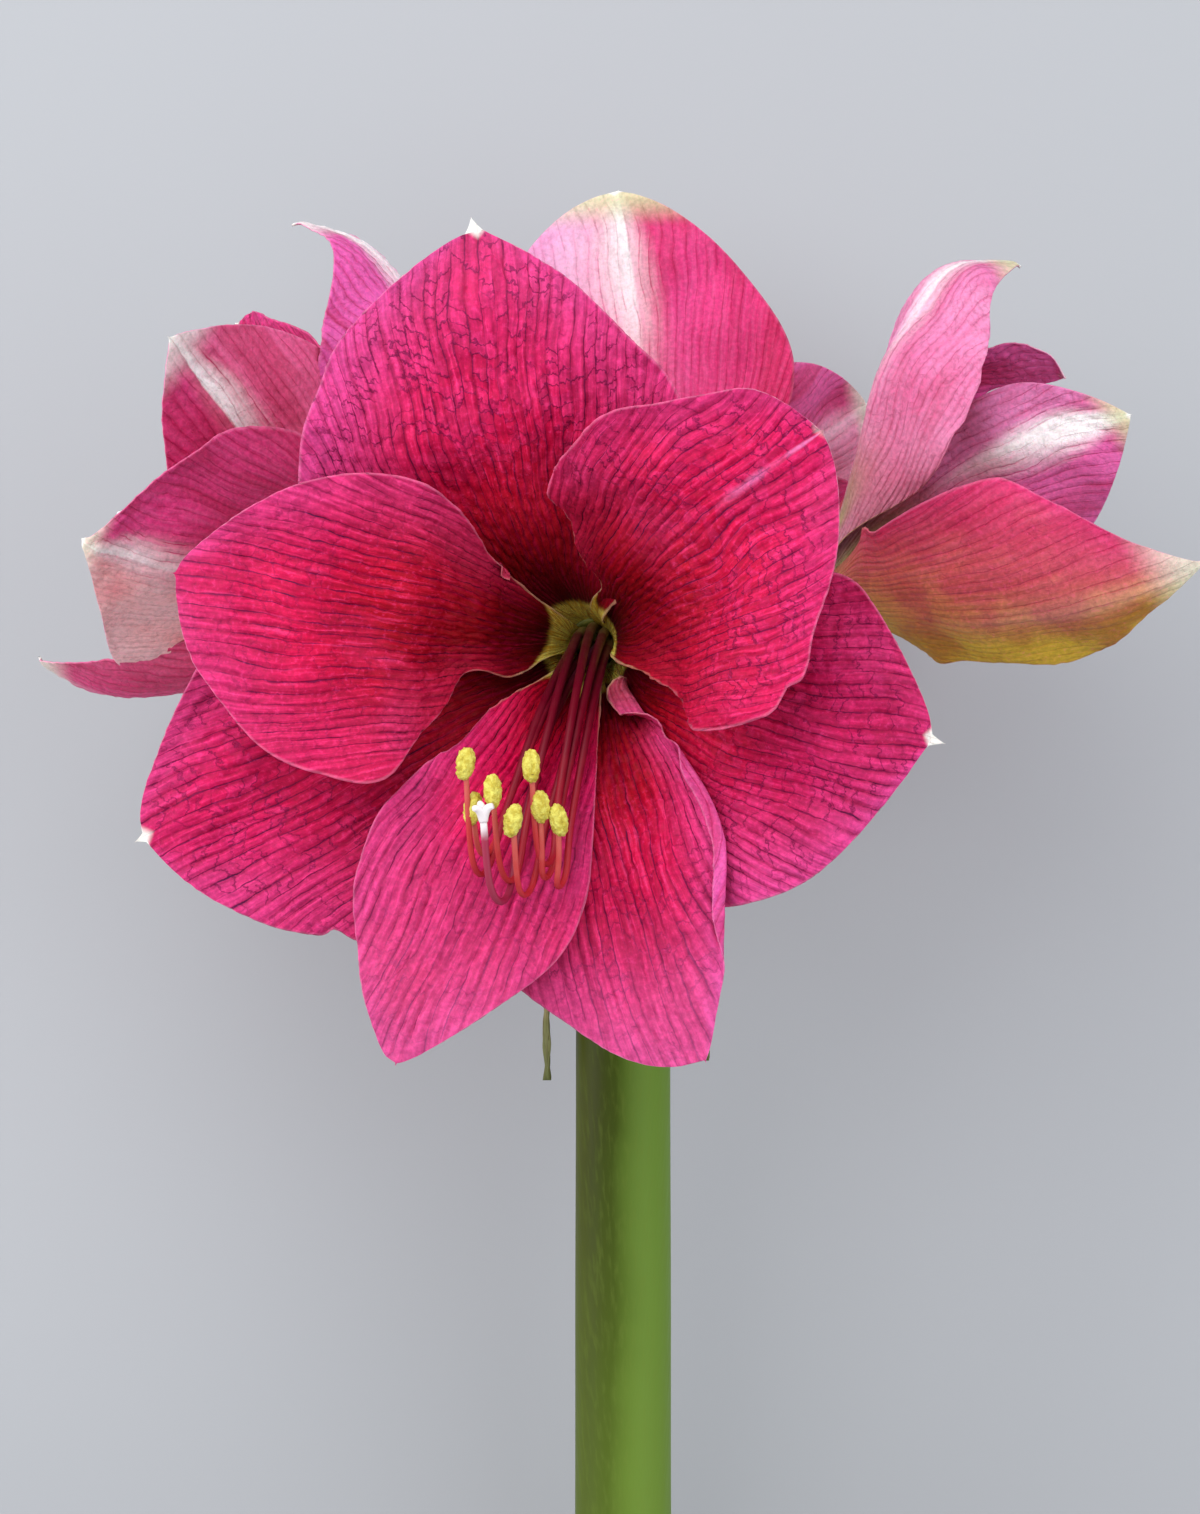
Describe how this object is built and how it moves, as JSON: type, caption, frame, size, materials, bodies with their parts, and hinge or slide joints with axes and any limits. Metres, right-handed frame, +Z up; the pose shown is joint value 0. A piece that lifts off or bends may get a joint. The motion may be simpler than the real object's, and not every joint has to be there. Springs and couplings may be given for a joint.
{
  "type": "cut amaryllis flower stalk",
  "caption": "Cut amaryllis lying on a surface: a hollow green scape with an umbel of large deep pink trumpet blooms, each with red stamens, yellow anthers and a pale style.",
  "frame": {"origin": "centre of the footprint of the lying stalk, on the surface it lies on", "axes": "+Z up from the surface, +Y along the stalk from its cut end to the blooms, +X to the right as the front bloom is looked down on"},
  "size_m": [0.2884, 0.5076, 0.2405],
  "materials": {
    "stalk_green": "waxy green plant stem",
    "tepal_pink": "deep pink veined petal with a soft sheen",
    "filament_red": "satin dark red filaments with yellow anthers",
    "style_pale": "pale pink style with a white stigma",
    "spathe_dry": "dry papery bract"
  },
  "bodies": {
    "root": {"perianth_front": "tepal_pink", "perianth_left": "tepal_pink", "perianth_rear": "tepal_pink", "perianth_right": "tepal_pink", "spathe_valve_left": "spathe_dry", "spathe_valve_right": "spathe_dry", "stalk": "stalk_green", "stamens_front": "filament_red", "stamens_left": "filament_red", "stamens_rear": "filament_red", "stamens_right": "filament_red", "style_front": "style_pale", "style_left": "style_pale", "style_rear": "style_pale", "style_right": "style_pale"}
  },
  "joints": []
}
